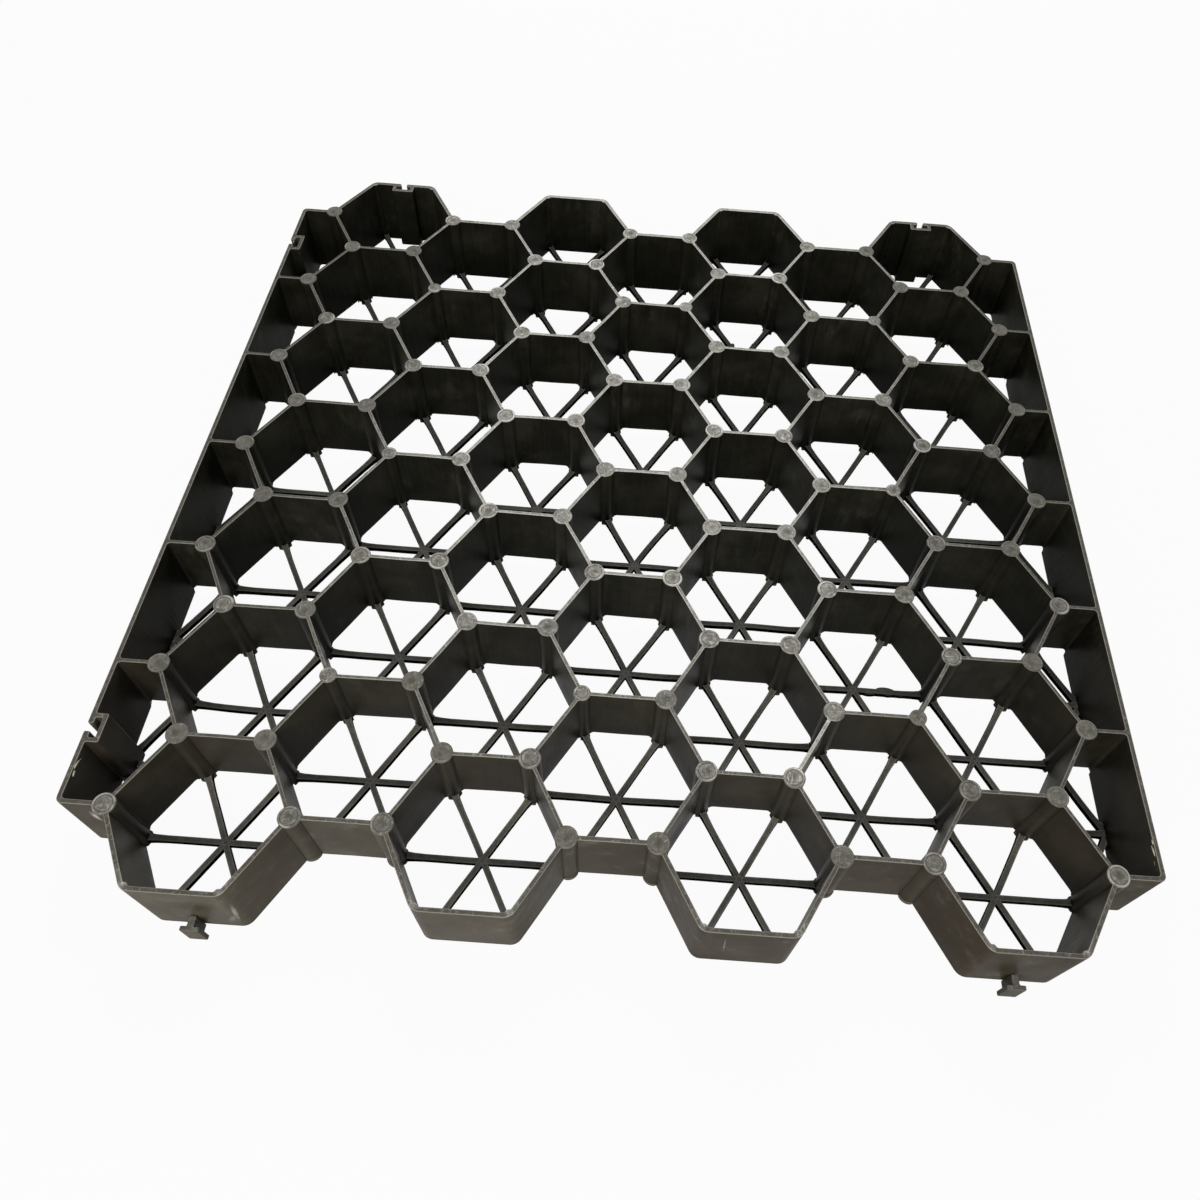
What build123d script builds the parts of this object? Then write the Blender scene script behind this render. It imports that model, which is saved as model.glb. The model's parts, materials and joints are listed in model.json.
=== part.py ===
"""Honeycomb ground reinforcement panel, moulded in one piece.

Upright walls make a honeycomb of open cells, with a round post where the walls meet
and low spokes across the bottom of each cell. The walls between cells stop short of
the ground, so that water runs from cell to cell. Two edges carry T tabs, and the two
edges opposite carry the slots that a neighbouring panel's tabs drop into.

Millimetres. The origin is the centre of the panel on its base, +X runs across the
columns of cells, +Y along them and +Z up.
"""

from build123d import *
from math import copysign, cos, radians, sqrt
import os

# Honeycomb
CELL_SIDE = 500.0 / 12.0      # side of a cell, between wall centre planes
CELL_COLUMNS = 9              # an odd number; the first and the last are half cells
CELLS_IN_LONG_COLUMN = 7      # the second column and every other one after it
PANEL_HEIGHT = 47.0
PASSAGE_HEIGHT = 4.5          # from the ground to the lower edge of the walls between cells
CELL_WALL = 1.9
EDGE_WALL = 2.3               # the walls round the outside
FREE_CORNER_RADIUS = 6.0      # outside, where an end wall turns with no post
SIDE_CORNER_RADIUS = 3.0      # outside, at the panel's four corners

# Posts
POST_TOP_RADIUS = 5.35
POST_FOOT_RADIUS = 4.75
SLIM_POST_TOP_RADIUS = 4.2
SLIM_POST_FOOT_RADIUS = 3.8
POST_RIM = 0.9                # flat ring round the dish in a post's top
POST_DISH_DEPTH = 0.35
CORNER_RIB_RADIUS = 1.5       # round rib inside each free corner

# Spokes across the bottom of a cell
SPOKE_WIDTH = 3.0
SPOKE_HEIGHT = 3.5

# Slot: an open box on the inside of an edge wall, as high as the panel
SLOT_GAP = 4.0                # opening in the edge wall
SLOT_LIP = 2.8                # from the outside face to the cavity
SLOT_CAVITY_WIDTH = 10.2
SLOT_CAVITY_DEPTH = 3.4
SLOT_SIDE = 2.3
SLOT_BACK = 2.3

# Tab: a T on the outside of an edge wall, standing on the base plane
TAB_HEIGHT = 14.5
TAB_CLEARANCE = 0.4           # stem to each side of the slot's gap
HEAD_SIDE_CLEARANCE = 0.7     # head to each end of the cavity
HEAD_FACE_CLEARANCE = 0.6     # head to the front and the back of the cavity
PANEL_GAP = 1.6               # left open between two coupled panels

# Where the slim posts stand: (column, cell up the column, side of that cell)
SLIM_POSTS = [(1, 1, 1), (3, 1, 1), (7, 1, -1), (1, 3, 1),
              (7, 3, -1), (1, 5, 1), (5, 5, -1), (7, 5, -1)]

# Cells up a half column, and long columns, that carry a coupling
COUPLED_HALF_CELLS = [0, CELLS_IN_LONG_COLUMN - 2]
COUPLED_COLUMNS = [1, CELL_COLUMNS - 2]

# Worked out from the sizes above
CELL_PITCH = sqrt(3) * CELL_SIDE
COLUMN_PITCH = 1.5 * CELL_SIDE
HALF_WIDTH = (CELL_COLUMNS - 1) / 2 * COLUMN_PITCH
HALF_LENGTH = CELLS_IN_LONG_COLUMN / 2 * CELL_PITCH
SHORT_HALF_LENGTH = HALF_LENGTH - CELL_PITCH / 2
TAB_STEM_WIDTH = SLOT_GAP - 2 * TAB_CLEARANCE
TAB_HEAD_WIDTH = SLOT_CAVITY_WIDTH - 2 * HEAD_SIDE_CLEARANCE
TAB_HEAD_THICKNESS = SLOT_CAVITY_DEPTH - 2 * HEAD_FACE_CLEARANCE
TAB_STEM_LENGTH = PANEL_GAP + SLOT_LIP + HEAD_FACE_CLEARANCE


def cell_centre(column, row):
    """Centre of a cell: the even columns stand half a pitch further up than the odd."""
    up = row + (1.0 if column % 2 == 0 else 0.5)
    return column * COLUMN_PITCH - HALF_WIDTH, up * CELL_PITCH - HALF_LENGTH


def cell_rows(column):
    return range(CELLS_IN_LONG_COLUMN - (1 if column % 2 == 0 else 0))


def cell_corners(centre):
    return [Vector(*centre) + Vector(CELL_SIDE, 0).rotate(Axis.Z, 60 * k) for k in range(6)]


def edge_outline():
    """Corners of the panel between the edge walls' centre planes, anticlockwise."""
    front = [(-HALF_WIDTH, -SHORT_HALF_LENGTH)]
    for column in range(1, CELL_COLUMNS - 1, 2):
        x, _ = cell_centre(column, 0)
        front += [
            (x - CELL_SIDE, -SHORT_HALF_LENGTH),
            (x - CELL_SIDE / 2, -HALF_LENGTH),
            (x + CELL_SIDE / 2, -HALF_LENGTH),
            (x + CELL_SIDE, -SHORT_HALF_LENGTH),
        ]
    front.append((HALF_WIDTH, -SHORT_HALF_LENGTH))
    return front + [(x, -y) for x, y in reversed(front)]


def at_length(vertices, length):
    """The vertices that lie furthest out along Y, within half a cell."""
    return [v for v in vertices if abs(abs(v.Y) - length) < CELL_SIDE / 4]


centres = [cell_centre(c, r) for c in range(CELL_COLUMNS) for r in cell_rows(c)]
corner_keys = {(round(p.X, 3), round(p.Y, 3)) for c in centres for p in cell_corners(c)}
slim_keys = set()
for column, row, side in SLIM_POSTS:
    x, y = cell_centre(column, row)
    slim_keys.add((round(x + side * CELL_SIDE, 3), round(y, 3)))

within = [p for p in sorted(corner_keys) if abs(p[0]) < HALF_WIDTH + 0.01]
free_corners = [p for p in within if abs(p[1]) > HALF_LENGTH - 0.01]
posts = [p for p in within if p not in free_corners and p not in slim_keys]
slim_posts = [p for p in within if p in slim_keys]

# Places of the couplings: the centre plane of the edge wall, turned so that +X points out
half_cell_heights = [cell_centre(0, row)[1] for row in COUPLED_HALF_CELLS]
column_places = [cell_centre(column, 0)[0] for column in COUPLED_COLUMNS]
slot_places = [Location((-HALF_WIDTH, y, 0), (0, 0, 180)) for y in half_cell_heights]
slot_places += [Location((x, HALF_LENGTH, 0), (0, 0, 90)) for x in column_places]
tab_places = [Location((HALF_WIDTH, y, 0), (0, 0, 0)) for y in half_cell_heights]
tab_places += [Location((x, -HALF_LENGTH, 0), (0, 0, -90)) for x in column_places]

# Plan of the outside face of the edge walls
with BuildSketch() as outside:
    with BuildLine():
        Polyline(*edge_outline(), close=True)
    make_face()
    offset(amount=EDGE_WALL / 2, kind=Kind.INTERSECTION)
    fillet(at_length(outside.vertices(), HALF_LENGTH + EDGE_WALL / 2), FREE_CORNER_RADIUS)
    side_corners = [v for v in outside.vertices() if abs(v.X) > HALF_WIDTH]
    fillet(side_corners, SIDE_CORNER_RADIUS)

# The same plan drawn in to the centre plane and to the inside face of the edge walls
with BuildSketch() as centre_plan:
    add(outside.sketch)
    offset(amount=-EDGE_WALL / 2, kind=Kind.INTERSECTION)
with BuildSketch() as inside:
    add(outside.sketch)
    offset(amount=-EDGE_WALL, kind=Kind.INTERSECTION)

with BuildSketch() as cells:
    with Locations(*centres):
        RegularPolygon(radius=(CELL_PITCH - CELL_WALL) / sqrt(3), side_count=6)
    add(inside.sketch, mode=Mode.INTERSECT)

# Plan of the slot's box and of the hollow in it, with +X out of the panel
slot_depth = SLOT_LIP + SLOT_CAVITY_DEPTH + SLOT_BACK
with BuildSketch() as slot_box:
    with Locations((EDGE_WALL / 2, 0)):
        Rectangle(slot_depth, SLOT_CAVITY_WIDTH + 2 * SLOT_SIDE, align=(Align.MAX, Align.CENTER))
with BuildSketch() as slot_hollow:
    with Locations((EDGE_WALL / 2 - SLOT_LIP, 0)):
        Rectangle(SLOT_CAVITY_DEPTH, SLOT_CAVITY_WIDTH, align=(Align.MAX, Align.CENTER))
        Rectangle(SLOT_LIP, SLOT_GAP, align=(Align.MIN, Align.CENTER))

with BuildSketch() as tab_plan:
    Rectangle(EDGE_WALL / 2 + TAB_STEM_LENGTH, TAB_STEM_WIDTH, align=(Align.MIN, Align.CENTER))
    with Locations((EDGE_WALL / 2 + TAB_STEM_LENGTH, 0)):
        Rectangle(TAB_HEAD_THICKNESS, TAB_HEAD_WIDTH, align=(Align.MIN, Align.CENTER))

# A free corner's rib sits where the inside faces of its two walls meet
rib_inset = EDGE_WALL / 2 / cos(radians(30))
long_columns = [cell_centre(c, 0)[0] for c in range(1, CELL_COLUMNS - 1, 2)]
rib_places = []
for x, y in free_corners:
    column_x = min(long_columns, key=lambda cx: abs(cx - x))
    inward = Vector(column_x - x, copysign(CELL_PITCH / 2, -y)).normalized()
    rib_places.append(Vector(x, y) + inward * rib_inset)

# Plan of the walls between cells, which hang clear of the ground between the posts
with BuildSketch() as inner_walls:
    add(inside.sketch)
    add(cells.sketch, mode=Mode.SUBTRACT)

# Plan of everything that stands the full height, apart from the posts
with BuildSketch() as edge_walls:
    add(outside.sketch)
    add(inside.sketch, mode=Mode.SUBTRACT)
    with Locations(*rib_places):
        Circle(CORNER_RIB_RADIUS)
    with Locations(*slot_places):
        add(slot_box.sketch)
    with Locations(*slot_places):
        add(slot_hollow.sketch, mode=Mode.SUBTRACT)

with BuildSketch() as spokes:
    with Locations(*centres):
        with PolarLocations(radius=0, count=3, angular_range=180):
            Rectangle(2 * CELL_SIDE, SPOKE_WIDTH)
    add(centre_plan.sketch, mode=Mode.INTERSECT)
    with Locations(*slot_places):
        add(slot_hollow.sketch, mode=Mode.SUBTRACT)

with BuildSketch(Plane.XY.offset(PANEL_HEIGHT)) as dishes:
    with Locations(*posts):
        Circle(POST_TOP_RADIUS - POST_RIM)
    with Locations(*slim_posts):
        Circle(SLIM_POST_TOP_RADIUS - POST_RIM)

with BuildPart() as grid_panel:
    add(edge_walls.sketch)
    extrude(amount=PANEL_HEIGHT)
    with Locations((0, 0, PASSAGE_HEIGHT)):
        add(inner_walls.sketch)
    extrude(amount=PANEL_HEIGHT - PASSAGE_HEIGHT)
    add(spokes.sketch)
    extrude(amount=SPOKE_HEIGHT)
    with Locations(*tab_places):
        add(tab_plan.sketch)
    extrude(amount=TAB_HEIGHT)
    on_base = (Align.CENTER, Align.CENTER, Align.MIN)
    with Locations(*posts):
        Cone(POST_FOOT_RADIUS, POST_TOP_RADIUS, PANEL_HEIGHT, align=on_base)
    with Locations(*slim_posts):
        Cone(SLIM_POST_FOOT_RADIUS, SLIM_POST_TOP_RADIUS, PANEL_HEIGHT, align=on_base)
    add(dishes.sketch)
    extrude(amount=-POST_DISH_DEPTH, mode=Mode.SUBTRACT)

os.makedirs("parts", exist_ok=True)
grid_panel.part.label = "grid_panel"
export_step(grid_panel.part, "parts/grid_panel.step")

box = grid_panel.part.bounding_box()
print("solids", len(grid_panel.solids()), "volume mm3", round(grid_panel.part.volume))
print("box", [round(v, 2) for v in (*box.min, *box.max)])
print("posts", len(posts), "slim posts", len(slim_posts), "free corners", len(free_corners))
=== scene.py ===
"""Dresses the honeycomb ground panel: walls and posts, spokes, tabs, burrs, and the studio round it."""
import json
import math
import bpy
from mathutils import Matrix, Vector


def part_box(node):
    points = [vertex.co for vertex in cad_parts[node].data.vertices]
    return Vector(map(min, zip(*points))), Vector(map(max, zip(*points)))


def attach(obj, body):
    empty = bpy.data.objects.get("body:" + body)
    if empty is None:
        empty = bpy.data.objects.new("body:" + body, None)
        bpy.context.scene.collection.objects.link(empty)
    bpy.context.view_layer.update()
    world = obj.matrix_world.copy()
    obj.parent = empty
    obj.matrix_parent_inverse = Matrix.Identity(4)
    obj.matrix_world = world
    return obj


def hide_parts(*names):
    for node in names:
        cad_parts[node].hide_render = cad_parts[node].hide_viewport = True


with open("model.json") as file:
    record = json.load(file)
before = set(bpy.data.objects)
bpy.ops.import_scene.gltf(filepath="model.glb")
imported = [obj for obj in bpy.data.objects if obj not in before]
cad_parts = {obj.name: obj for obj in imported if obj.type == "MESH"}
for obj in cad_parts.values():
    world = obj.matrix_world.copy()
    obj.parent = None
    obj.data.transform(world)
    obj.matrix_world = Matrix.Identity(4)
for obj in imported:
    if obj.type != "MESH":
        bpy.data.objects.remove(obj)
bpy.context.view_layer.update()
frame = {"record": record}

from types import SimpleNamespace

import bpy
import numpy as np
from bpy.props import FloatProperty, FloatVectorProperty, IntProperty, PointerProperty
from mathutils import Matrix, Vector
from mathutils.geometry import delaunay_2d_cdt

bl_info = {
    "name": "Honeycomb ground panel",
    "version": (1, 0, 0),
    "blender": (4, 5, 0),
    "location": "3D View > Sidebar > Ground Panel",
    "description": "Builds a moulded honeycomb ground reinforcement panel round its packed frame",
    "category": "Object",
}

MM = 0.001

# Layout of the honeycomb, read from the frame
NODE = "grid_panel"
LOW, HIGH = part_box(NODE)
MOUNT = {m["name"]: Vector(m["pos_m"]) for m in frame["record"]["mounts"]}
COLUMNS = 9
ROWS = 7
LONG_COLUMNS = range(1, COLUMNS - 1, 2)
SLOTTED_COLUMNS, SLOTTED_ROWS = (1, COLUMNS - 2), (0, ROWS - 2)
SIDES_BETWEEN_TABS = 9
CELL_SIDE = (MOUNT["tab_front_right"].x - MOUNT["tab_front_left"].x) / SIDES_BETWEEN_TABS
CELL_PITCH = math.sqrt(3) * CELL_SIDE
COLUMN_PITCH = 1.5 * CELL_SIDE
HALF_WIDTH = (COLUMNS - 1) / 2 * COLUMN_PITCH
HALF_LENGTH = ROWS / 2 * CELL_PITCH
SHORT_HALF_LENGTH = HALF_LENGTH - CELL_PITCH / 2
HEIGHT = HIGH.z
HEAD_BEYOND_MOUNT = MOUNT["tab_front_left"].y - LOW.y
TAB_HEIGHT = 2 * MOUNT["tab_front_left"].z
NEAR = 0.1 * MM

# Where the slim posts stand: (column, cell up the column, side of that cell)
SLIM_POSTS = [(1, 1, 1), (3, 1, 1), (7, 1, -1), (1, 3, 1), (7, 3, -1), (1, 5, 1), (5, 5, -1), (7, 5, -1)]

# The chamfer at the foot of every face, inwards and upwards, and the height of the slope over a post's lip
FOOT_IN, FOOT_UP, LIP_SLOPE = 0.2 * MM, 0.25 * MM, 0.35 * MM

# Angles of the points on a passage's rounded upper corner, and of those over an upper edge, in degrees
PASSAGE_ARC = (90, 60, 30)
OVER_EDGE = np.radians([0, 30, 60, 90])

# The coin layer's value off the posts, and the abrasion and painted highlight of a post's top: its share
# of the walls' and its spread
OFF_POST = 2.0
POST_TOP_SHARE, POST_WEAR_SPREAD = 0.7, 0.36

# Waves of the warp, sideways and lengthways: (radians per metre along x and along y, phase, share)
WARP_WAVES = (((19, 71, 0.0, 1.0), (-47, 133, 1.3, 0.7)), ((83, -23, 0.6, 1.0), (149, 59, 2.1, 0.7)))

# How far a spoke stops before a corner's centre, and how far off a half cell's middle it starts
STOP_AT_RIB, STOP_AT_SLIM_POST, STOP_AT_POST = 1.2 * MM, 2.9 * MM, 3.5 * MM
START_IN_WALL, START_IN_SLOT_BOX = 0.3 * MM, 6.25 * MM

# A spoke's flare at its ends, then its chance bow, and the step in height that keeps crossing tops apart
FLARE_REACH, FLARE_WIDER, FLARE_HIGHER = 4.2 * MM, 0.35, 0.25
BOW_SPREAD, HEIGHT_STEP = 0.22 * MM, -0.03 * MM

# How much of a spoke's spacing is even, and over which part of it a slanted end fades: one over this
EVEN_SPACING, SLANT_FADE = 0.65, 4

# Spokes that cooled out of shape: (column, cell up the column, direction, sideways bow in mm)
BOWED_SPOKES = [(1, 1, 0, 1.7), (7, 2, 0, -0.9), (3, 4, 2, 0.8), (5, 2, 1, -0.7)]

# Half a spoke's section: (share of its half width, share of its height, painted light from 0 on a side
# to 1 on a top edge)
HALF_SECTION = [(-1.0, 0.04, 0.0), (-1.0, 0.84, 0.0), (-0.95, 0.96, 0.8), (-0.82, 1.0, 1.0),
                (-0.62, 0.99, 0.8), (-0.42, 0.94, 0.45)]
SPOKE_SECTION = np.array(HALF_SECTION + [(-out, up, level) for out, up, level in reversed(HALF_SECTION)])

# Domes on the spokes, hubs and lumps, each on a foot: sizes, angles of the rings, and the lit layer there
HUB_RADIUS, HUB_RISE, HUB_BASE = 2.9 * MM, 0.76 * MM, 2.7 * MM
LUMP_RISE, LUMP_BASE, DOME_FOOT = 1.3 * MM, 2.2 * MM, 0.15 * MM
DOME_RINGS = np.radians([90, 75, 52, 28])
DOME_LIT = np.array([0.0, 0.2, 0.6, 0.74, 0.74])
CENTRE_LIT = 0.55

# Lumps of spare plastic on spokes: (x, y, length, width in mm, turn in degrees)
SPOKE_LUMPS = [(134.5, -108.6, 9.0, 3.6, 4), (143.5, -107.6, 12.0, 4.8, -6), (152.0, -108.2, 7.0, 3.4, 8),
               (56.3, 158.0, 5.0, 3.6, 66), (71.9, 160.0, 4.6, 3.4, -58)]

# Burrs where the edge was knocked or trimmed: (x, y, depth below the top, length in mm, turn in degrees)
BURRS = [(-248.6, -199.0, 1.2, 4.2, 84), (-249.3, -196.0, 3.4, 3.0, 70), (-248.0, -203.4, 1.1, 2.6, 100),
         (248.6, -203.0, 1.6, 4.6, 95), (249.3, -207.4, 3.6, 3.8, 80), (249.0, -199.2, 1.0, 2.6, 85),
         (-249.2, 182.6, 1.4, 3.4, 92), (-248.4, 186.2, 1.0, 2.2, 80), (-201.4, 252.3, 1.2, 2.4, 5)]
BURR_HALF_WIDTH, BURR_HALF_HEIGHT, BURR_ROUGHNESS = 0.42, 0.5, 0.22

# Walls whose top edges are rubbed bright: (x, y, x, y) in mm, from end to end
RUBBED_WALLS = [(-104.2, 0.0, -83.3, 36.1), (83.3, -180.4, 104.2, -144.3), (-20.8, -36.1, 20.8, -36.1),
                (20.8, 36.1, 41.7, 72.2), (41.7, 0.0, 20.8, 36.1), (104.2, 0.0, 83.3, 36.1)]
WALL_WEAR_REACH = 4 * MM
# The middle band on the tops is painted highlight, partly abrasion; the spots on the ribs are painted
# highlight
BAND_REACH, BAND_START, BAND_SLOPE, MIDDLE_WEAR_AND_HIGHLIGHT = 0.15, -0.12, 0.035, 0.85
RIB_INSET, RIB_HIGHLIGHT_REACH, RIB_HIGHLIGHT = 1.6 * MM, 1.8 * MM, 0.4

# Marks on the outside faces: (x, y, z, half sizes along x, y and z, turn about y in degrees, strength), mm
PALE_MARKS = [(-166.8, -253.7, 21.0, 1.3, 3.0, 15.0, 6, 0.34),
              (-170.4, -253.7, 12.0, 2.0, 3.0, 7.0, 22, 0.22),
              (-238.1, -217.7, 32.0, 2.2, 3.0, 7.0, -4, 0.58),
              (53.1, -253.7, 27.5, 0.5, 3.0, 13.0, -3, 0.32)]
DARK_MARKS = [(-184.0, -253.7, 29.0, 15.0, 4.0, 11.0, 0, 0.75),
              (184.0, -253.7, 27.0, 13.0, 4.0, 9.0, 0, 0.6)]


def length(name, description, millimetres):
    return FloatProperty(name=name, description=description, default=millimetres * MM, unit="LENGTH")


def colour(name, description, *rgb):
    return FloatVectorProperty(name=name, description=description, subtype="COLOR", size=4, min=0, max=1,
                               default=(*rgb, 1))


class PanelSizes(bpy.types.PropertyGroup):
    """Sizes of the moulding that a user may change, apart from the ones the frame fixes."""

    wall: length("Cell wall", "Thickness of the walls between cells", 1.9)
    edge_wall: length("Edge wall", "Thickness of the walls round the outside", 2.3)
    edge_round: length("Wall edge", "Rounding of the walls' top edges", 0.55)
    fillet: length("Post fillet", "Fillet between a wall and a post", 0.7)
    passage: length("Passage", "From the ground to the lower edge of a wall between cells", 4.5)
    arch: length("Passage corner", "Rounding of the passage's corners beside a post", 2.0)
    lip_height: length("Lip height", "Height of the lip round the foot of a post", 1.2)
    lip: length("Lip", "How far the lip stands proud of the post", 0.65)
    post_top: length("Post top", "Radius of a post at its top", 5.35)
    post_foot: length("Post foot", "Radius of a post at its foot", 4.75)
    slim_top: length("Slim post top", "Radius of a slim post at its top", 4.2)
    slim_foot: length("Slim post foot", "Radius of a slim post at its foot", 3.8)
    coin: length("Post coin", "How far a post's top stands above the walls", 0.3)
    rim: length("Post rim", "Width of the ring round the dish of a post", 0.75)
    dish: length("Post dish", "Depth of the dish in a post's top", 0.3)
    rib: length("Corner rib", "Radius of the rib inside a free corner", 1.5)
    spoke_width: length("Spoke width", "Width of a spoke", 3.0)
    spoke_height: length("Spoke height", "Height of a spoke above the ground", 3.5)
    warp: length("Warp", "How far the walls wander from true", 0.3)


class PanelFinish(bpy.types.PropertyGroup):
    """Colours of the moulding."""

    plastic: colour("Plastic", "Clean moulded plastic", 0.0088, 0.0088, 0.0058)
    bloom: colour("Bloom", "Smoky bloom on the walls", 0.034, 0.0335, 0.0245)
    # Smears: partly scuffing, partly a painted reflection on the walls
    smear_and_sheen: colour("Smear", "Rubbed smears on the walls", 0.077, 0.0755, 0.058)
    # The tops' light greys paint the sheen of upward faces, with abrasion
    dull_top_sheen: colour("Dull edge", "Wall tops where the panel is rubbed least", 0.098, 0.0935, 0.080)
    worn_and_sheen: colour("Worn top", "Rubbed post tops", 0.172, 0.167, 0.147)
    # At its lightest: abrasion and painted highlight; also the painted highlight line along the spokes' top
    # edges
    bright: colour("Bright edge", "Top edges where the panel is rubbed most", 0.48, 0.475, 0.44)
    # Painted sheen on the spokes' tops, with an abraded texture
    spoke: colour("Spoke top", "Dull tops of the spokes", 0.29, 0.279, 0.247)
    # Scratches, and the colour of the painted highlights round the post tops and along the wall tops
    scuff_and_highlight: colour("Scuff", "Fresh scratches in the rubbed tops", 0.72, 0.715, 0.67)
    dust: colour("Dust", "Film of dust on the outside faces", 0.093, 0.082, 0.064)
    # Also painted shade, heavier to the right outside, and a browner tint in the front cells' painted light
    stain_and_shade: colour("Stain", "Brown stain under the dust", 0.026, 0.016, 0.007)
    burr: colour("Burr", "Plastic whitened by bending", 0.50, 0.47, 0.38)


class PanelSampling(bpy.types.PropertyGroup):
    """How finely the surfaces are divided."""

    post_sides: IntProperty(name="Post sides", description="Steps round a post's top", default=24, min=12)
    arc_steps: IntProperty(name="Arc steps", description="Steps round a post between two walls",
                           default=8, min=4)
    fillet_steps: IntProperty(name="Fillet steps", description="Steps round a fillet", default=3, min=2)
    spoke_steps: IntProperty(name="Spoke steps", description="Steps along a spoke", default=12, min=4)


class StudioSettings(bpy.types.PropertyGroup):
    """Camera, lamps and floor."""

    lens: FloatProperty(name="Lens", description="Focal length on a 36 mm sensor", default=29.49, min=1)
    key_power: FloatProperty(name="Key light", description="Lamp above and behind", default=14.0,
                             unit="POWER")
    fill_power: FloatProperty(name="Front light", description="Low lamp in front", default=7.5,
                              unit="POWER")
    sky: FloatProperty(name="Sky", description="Strength of the even light", default=0.36, min=0)
    floor: colour("Floor", "Pale floor", 0.5, 0.5, 0.49)
    floor_glow: FloatProperty(name="Floor white", description="Share of plain white in the seen floor",
                              default=0.95, min=0, max=1, subtype="FACTOR")


def values_of(settings):
    """The settings of one group by name."""
    names = [n for n in settings.bl_rna.properties.keys() if n not in ("rna_type", "name")]
    return {n: getattr(settings, n) for n in names}


def panel_measures():
    """All sizes that the surfaces need, in metres, and the steps that divide them."""
    scene = bpy.context.scene
    sizes = SimpleNamespace(
        **values_of(scene.panel_sizes), **values_of(scene.panel_sampling),
        post_edge=0.14 * MM, rib_fillet=1.0 * MM, side_fillet=1.6 * MM, free_round=6.0 * MM,
        panel_round=3.0 * MM, gap_half=2.0 * MM, gap_round=0.7 * MM, cavity_half=5.1 * MM,
        cavity_deep=3.4 * MM, slot_lip=2.8 * MM, box_half=7.4 * MM, box_wall=2.3 * MM, box_round=0.9 * MM)
    sizes.post_mean = (sizes.post_top + sizes.post_foot) / 2
    sizes.slim_mean = (sizes.slim_top + sizes.slim_foot) / 2
    sizes.cavity_back = sizes.edge_wall / 2 - sizes.slot_lip - sizes.cavity_deep
    sizes.box_face = sizes.box_wall - sizes.cavity_back
    return sizes


# Meshes


class Skin:
    """Points and faces of one piece. Surfaces share points by their numbers."""

    def __init__(self):
        self.points, self.quads, self.triangles, self.count = [], [], [], 0

    def add(self, points):
        """Stores an array of points of any shape and returns their numbers in that shape."""
        flat = np.asarray(points, float).reshape(-1, 3)
        numbers = np.arange(self.count, self.count + len(flat))
        self.points.append(flat)
        self.count += len(flat)
        return numbers.reshape(np.shape(points)[:-1])

    def grid(self, numbers, flip=False):
        """Joins a grid of point numbers into quads, along its rows and round its closed columns."""
        right = np.roll(numbers, -1, axis=-1)
        corners = [numbers[..., :-1, :], right[..., :-1, :], right[..., 1:, :], numbers[..., 1:, :]]
        quads = np.stack(corners, axis=-1).reshape(-1, 4)
        self.quads.append(quads[:, ::-1] if flip else quads)

    def fan(self, ring, centre, flip=False):
        """Joins closed rings of point numbers to one centre point each."""
        centre = np.broadcast_to(np.asarray(centre)[..., None], ring.shape)
        tris = np.stack([ring, np.roll(ring, -1, axis=-1), centre], axis=-1).reshape(-1, 3)
        self.triangles.append(tris[:, ::-1] if flip else tris)

    def piece(self, name, material, layers=None, move=None):
        """Makes the mesh object, smooth, with each point's normal weighted by the faces' areas."""
        points = np.concatenate(self.points)
        if move is not None:
            points = move(points)
        quads, tris = (np.concatenate([np.zeros((0, n), int), *faces])
                       for n, faces in ((4, self.quads), (3, self.triangles)))
        mesh = bpy.data.meshes.new(name)
        mesh.vertices.add(len(points))
        mesh.vertices.foreach_set("co", points.astype(np.float32).ravel())
        mesh.loops.add(quads.size + tris.size)
        mesh.loops.foreach_set("vertex_index", np.concatenate([quads.ravel(), tris.ravel()]).astype(np.int32))
        starts = np.concatenate([np.arange(len(quads)) * 4, quads.size + np.arange(len(tris)) * 3])
        mesh.polygons.add(len(starts))
        mesh.polygons.foreach_set("loop_start", starts.astype(np.int32))
        mesh.update(calc_edges=True)
        mesh.validate()
        mesh.polygons.foreach_set("use_smooth", np.ones(len(mesh.polygons), bool))
        for layer, values in (layers or {}).items():
            mesh.attributes.new(layer, "FLOAT", "POINT").data.foreach_set(
                "value", np.asarray(values, np.float32))
        mesh.normals_split_custom_set_from_vertices(area_normals(points, quads, tris))
        mesh.materials.append(material)
        made = bpy.data.objects.new(name, mesh)
        bpy.context.scene.collection.objects.link(made)
        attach(made, "root")
        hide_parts(NODE)


def area_normals(points, quads, tris):
    """Normal of a point: the sum of its faces' cross products, each as long as the face is large."""
    total = np.zeros_like(points)
    for faces, first, second in ((quads, (0, 2), (1, 3)), (tris, (0, 1), (0, 2))):
        one = points[faces[:, first[1]]] - points[faces[:, first[0]]]
        two = points[faces[:, second[1]]] - points[faces[:, second[0]]]
        cross = np.cross(one, two)
        for corner_number in range(faces.shape[1]):
            np.add.at(total, faces[:, corner_number], cross)
    return total / np.maximum(np.linalg.norm(total, axis=1, keepdims=True), 1e-20)


def stand(plan, z):
    """Points in space from points in plan and their heights."""
    return np.concatenate([plan, np.broadcast_to(z, plan.shape[:-1])[..., None]], -1)


def turned(plan, angles):
    """Shapes in plan, each turned by its own angle: (x cos a - y sin a, x sin a + y cos a)."""
    c, s = (wave(angles).reshape((-1,) + (1,) * (plan.ndim - 2)) for wave in (np.cos, np.sin))
    x, y = plan[..., 0], plan[..., 1]
    return np.stack([x * c - y * s, x * s + y * c], axis=-1)


# Outlines in plan, walked with the open side on the left


def left_of(direction):
    return np.array([-direction[1], direction[0]])


def unit(vector):
    return np.asarray(vector, float) / np.linalg.norm(vector)


def sweep_of(start, end, steps):
    """Unit vectors from start to end, turned evenly the short way round."""
    a = math.atan2(start[1], start[0])
    turn = (math.atan2(end[1], end[0]) - a + math.pi) % (2 * math.pi) - math.pi
    angles = a + turn * np.linspace(0, 1, steps + 1)
    return np.stack([np.cos(angles), np.sin(angles)], axis=1)


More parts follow.
